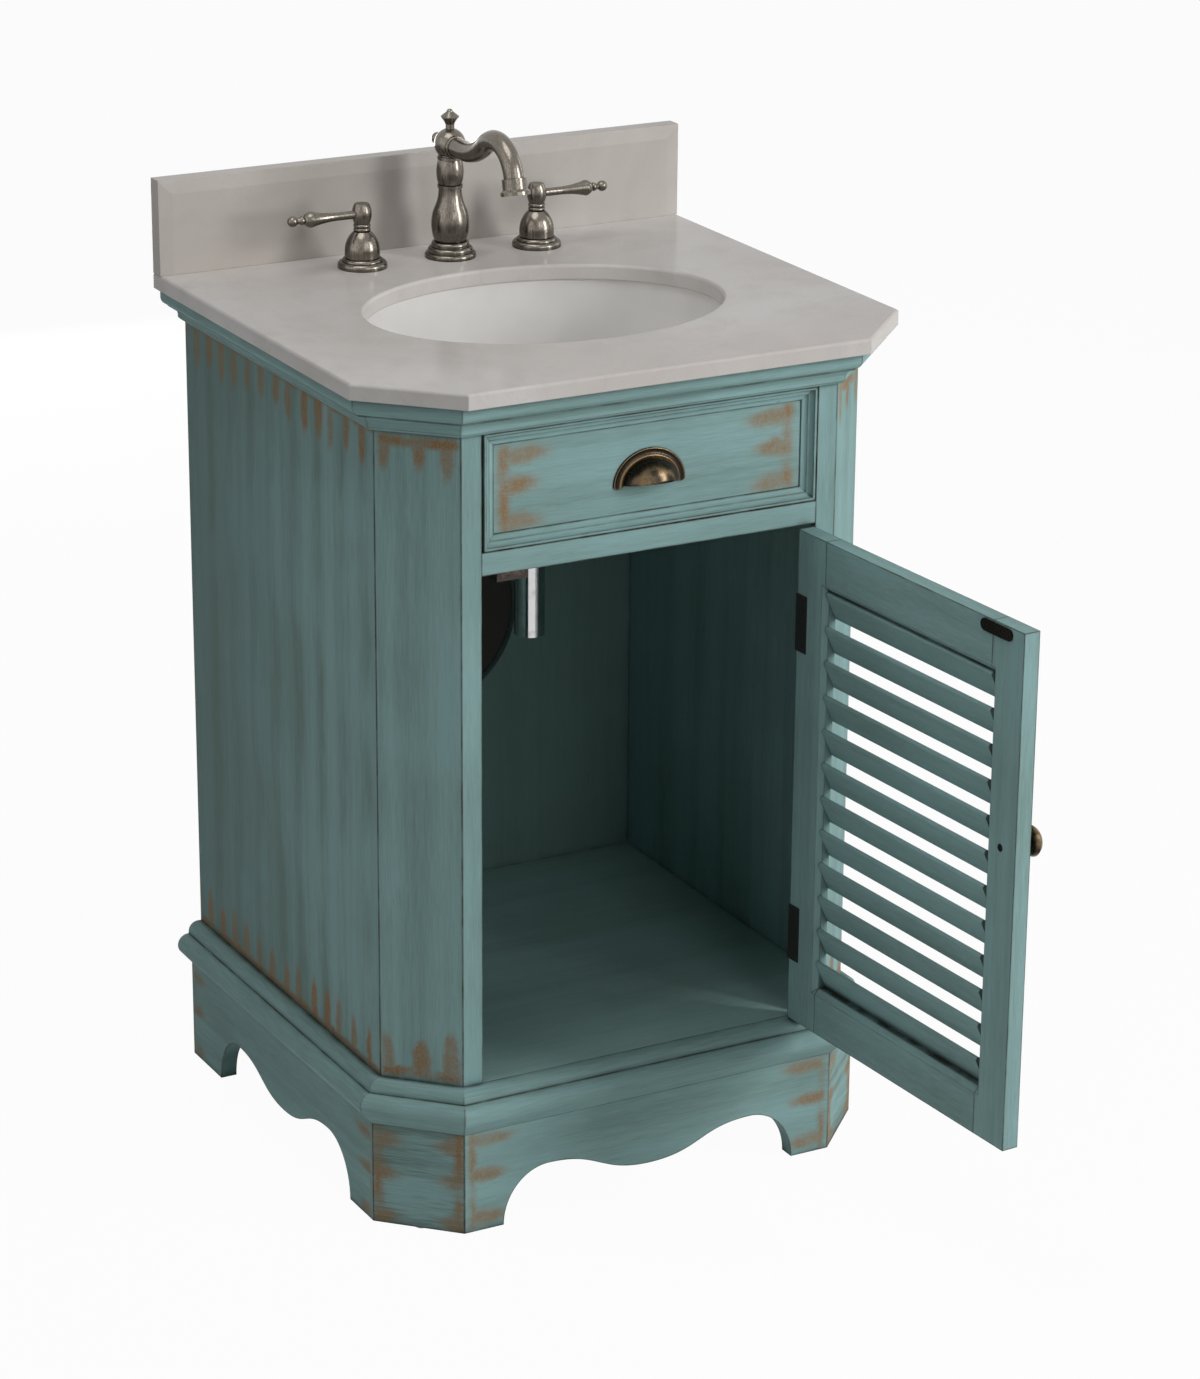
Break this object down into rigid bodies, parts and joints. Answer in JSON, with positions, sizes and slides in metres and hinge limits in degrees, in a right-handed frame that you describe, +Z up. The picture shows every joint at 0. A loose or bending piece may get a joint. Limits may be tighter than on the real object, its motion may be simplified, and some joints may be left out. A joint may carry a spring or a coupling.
{
  "type": "bathroom vanity unit",
  "caption": "Floor-standing bathroom vanity: painted wood cabinet with clipped front corners, louvered door, false drawer front, stone top, undermounted oval bowl and widespread faucet.",
  "frame": {"origin": "on the floor at the wall, in the middle of the unit's width", "axes": "+Z up, +X to the right seen from the front, +Y into the wall; the front faces -Y"},
  "size_m": [0.61, 0.8898, 1.0467],
  "materials": {
    "teal_painted_wood": "satin",
    "bare_wood": "matte",
    "white_plastic": "satin",
    "grey_marble": "polished",
    "white_china": "gloss",
    "brushed_nickel": "satin",
    "dark_bronze": "satin",
    "black_iron": "satin",
    "chrome": "polished",
    "plain_brass": "satin",
    "zinc_steel": "satin",
    "brown_plastic": "matte",
    "black_rubber": "matte"
  },
  "bodies": {
    "cabinet": {"aerator": "brushed_nickel", "back_panel": "teal_painted_wood", "backsplash": "grey_marble", "base_moulding": "teal_painted_wood", "cabinet_floor": "teal_painted_wood", "catch_housing": "brown_plastic", "catch_magnet": "zinc_steel", "corner_feet": "teal_painted_wood", "corner_post_left": "teal_painted_wood", "corner_post_right": "teal_painted_wood", "cornice": "teal_painted_wood", "countertop": "grey_marble", "cup_pull": "dark_bronze", "cup_pull_screws": "zinc_steel", "drain_flange": "chrome", "drain_gasket": "black_rubber", "drain_locknut": "plain_brass", "drawer_frame": "teal_painted_wood", "drawer_panel": "teal_painted_wood", "faucet_locknuts": "plain_brass", "faucet_shanks": "plain_brass", "foot_glides": "white_plastic", "front_bottom_rail": "teal_painted_wood", "front_mid_rail": "teal_painted_wood", "front_stile_left": "teal_painted_wood", "front_stile_right": "teal_painted_wood", "front_top_rail": "teal_painted_wood", "handle_bases": "brushed_nickel", "hinge_frame_leaves": "black_iron", "hinge_pins": "black_iron", "hinge_screws_frame": "black_iron", "inner_cleats": "bare_wood", "side_panel_left": "teal_painted_wood", "side_panel_right": "teal_painted_wood", "sink_bowl": "white_china", "sink_clips": "zinc_steel", "skirt_front": "teal_painted_wood", "skirt_sides": "teal_painted_wood", "spout": "brushed_nickel", "spout_base": "brushed_nickel", "tailpiece": "chrome", "tailpiece_nut": "plain_brass", "wall_rail": "teal_painted_wood"},
    "door": {"door_stile_hinge": "teal_painted_wood", "door_stile_lock": "teal_painted_wood", "door_rail_top": "teal_painted_wood", "door_rail_bottom": "teal_painted_wood", "door_slats": "teal_painted_wood", "hinge_door_leaves": "black_iron", "hinge_screws_door": "black_iron", "strike_plate": "dark_bronze", "door_knob": "dark_bronze", "knob_screw": "zinc_steel"},
    "lever_left_body": {"lever_left": "brushed_nickel"},
    "lever_right_body": {"lever_right": "brushed_nickel"},
    "lift_rod_body": {"lift_rod": "brushed_nickel"},
    "pivot_rod_body": {"pivot_rod": "chrome"},
    "stopper_body": {"stopper": "chrome"}
  },
  "joints": [
    {"name": "door_hinge", "type": "hinge", "parent": "cabinet", "child": "door", "pos_m": [0.186, -0.5182, 0.4265], "axis": [0, 0, 1], "range_deg": [-93.5, 76.5]},
    {"name": "lever_left_turn", "type": "hinge", "parent": "cabinet", "child": "lever_left_body", "pos_m": [-0.102, -0.075, 0.93], "axis": [0, 0, 1], "range_deg": [0, 90]},
    {"name": "lever_right_turn", "type": "hinge", "parent": "cabinet", "child": "lever_right_body", "pos_m": [0.102, -0.075, 0.93], "axis": [0, 0, 1], "range_deg": [-90, 0]},
    {"name": "lift_rod_slide", "type": "slide", "parent": "cabinet", "child": "lift_rod_body", "axis": [0, 0, 1], "range_m": [0, 0.032]},
    {"name": "pivot_rod_swing", "type": "hinge", "parent": "cabinet", "child": "pivot_rod_body", "pos_m": [0, -0.232, 0.691], "axis": [1, 0, 0], "range_deg": [0, 11.6]},
    {"name": "stopper_slide", "type": "slide", "parent": "cabinet", "child": "stopper_body", "axis": [0, 0, 1], "range_m": [-0.005, 0]}
  ],
  "couplings": [
    {"joint": "pivot_rod_swing", "follows": "lift_rod_slide", "rad_per_m": 6.2228},
    {"joint": "stopper_slide", "follows": "lift_rod_slide", "ratio": -0.14935}
  ]
}
